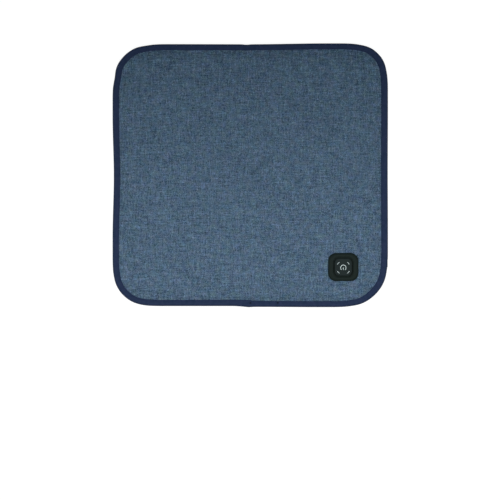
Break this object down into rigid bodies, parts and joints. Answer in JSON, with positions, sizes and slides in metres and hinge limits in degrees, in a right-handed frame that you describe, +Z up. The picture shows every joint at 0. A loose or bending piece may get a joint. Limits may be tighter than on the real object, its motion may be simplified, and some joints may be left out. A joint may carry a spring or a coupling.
{
  "type": "heated seat cushion",
  "caption": "Square padded heated seat cushion with rounded corners, a taped edge, a push-button control unit on its front right corner and a flat power inlet. It folds in half.",
  "frame": {"origin": "the middle of the pad's box, on the surface that the pad lies on, right under the fold line", "axes": "+X to the right of someone who faces the rear edge, along the longer side and across the fold; +Y from the front edge, where the control unit is, to the rear edge; +Z up, through the pad's thickness"},
  "size_m": [0.45, 0.4308, 0.0168],
  "materials": {
    "melange_cloth": "matt two-tone weave",
    "grip_cloth": "matt knit with small rubber dots",
    "navy_tape": "matt woven tape",
    "wadding": "soft fibre",
    "foam": "open-cell foam",
    "foil": "metallised film",
    "felt": "needled felt",
    "heater_sheath": "silicone sheath",
    "lead_sheath": "extruded sheath",
    "black_moulding": "fine moulded grain",
    "cap_moulding": "satin moulded, icon in pale grey",
    "tray_moulding": "as moulded",
    "diffuser": "milky",
    "board": "lacquered laminate",
    "black_resin": "moulded resin",
    "light": "clear resin",
    "tinned_metal": "tinned",
    "steel": "zinc plated",
    "inlet_rubber": "satin",
    "contact": "plated"
  },
  "bodies": {
    "right_half": {"top_cover_right": "melange_cloth", "bottom_cover_right": "grip_cloth", "edge_binding_right": "navy_tape", "wadding_right": "wadding", "foam_right": "foam", "reflective_foil_right": "foil", "carrier_felt_right": "felt", "heater_wire_right": "heater_sheath", "lead_crimp_right_inner": "tinned_metal", "fold_lead_right_inner": "lead_sheath", "fold_lead_right_outer": "lead_sheath", "heater_lead_inner": "lead_sheath", "heater_lead_cutout": "lead_sheath", "thermal_cutout": "black_resin", "temperature_sensor": "light", "sensor_lead": "lead_sheath", "supply_lead_front": "lead_sheath", "supply_lead_rear": "lead_sheath", "inlet_housing": "inlet_rubber", "inlet_socket": "steel", "inlet_tongue": "contact", "controller_bezel": "black_moulding", "controller_base": "tray_moulding", "base_screw_rear_right": "steel", "base_screw_rear_left": "steel", "base_screw_front_right": "steel", "base_screw_front_left": "steel", "circuit_board": "board", "control_chip": "black_resin", "power_transistor_rear": "black_resin", "power_transistor_front": "black_resin", "indicator_light_rear_right": "light", "indicator_light_rear_left": "light", "indicator_light_rear_middle": "light", "indicator_light_front_right": "light", "indicator_light_front_left": "light", "indicator_light_front_middle": "light", "switch_body": "black_resin", "lead_terminal_front": "lead_sheath", "lead_terminal_rear": "lead_sheath", "lead_terminal_right": "lead_sheath"},
    "left_half": {"top_cover_left": "melange_cloth", "bottom_cover_left": "grip_cloth", "edge_binding_left": "navy_tape", "wadding_left": "wadding", "foam_left": "foam", "reflective_foil_left": "foil", "carrier_felt_left": "felt", "heater_wire_left": "heater_sheath", "lead_crimp_left_inner": "tinned_metal", "lead_crimp_left_outer": "tinned_metal", "fold_lead_left_inner": "lead_sheath", "fold_lead_left_outer": "lead_sheath"},
    "button": {"button_cap": "cap_moulding", "light_diffuser": "diffuser", "switch_plunger": "tinned_metal"}
  },
  "joints": [
    {"name": "fold", "type": "hinge", "parent": "right_half", "child": "left_half", "pos_m": [0, 0, -0.0003], "axis": [0, -1, 0], "range_deg": [0, 180]},
    {"name": "button_press", "type": "slide", "parent": "right_half", "child": "button", "axis": [0, 0, -1], "range_m": [0, 0.0008], "stiffness_N_per_m": 3000}
  ]
}
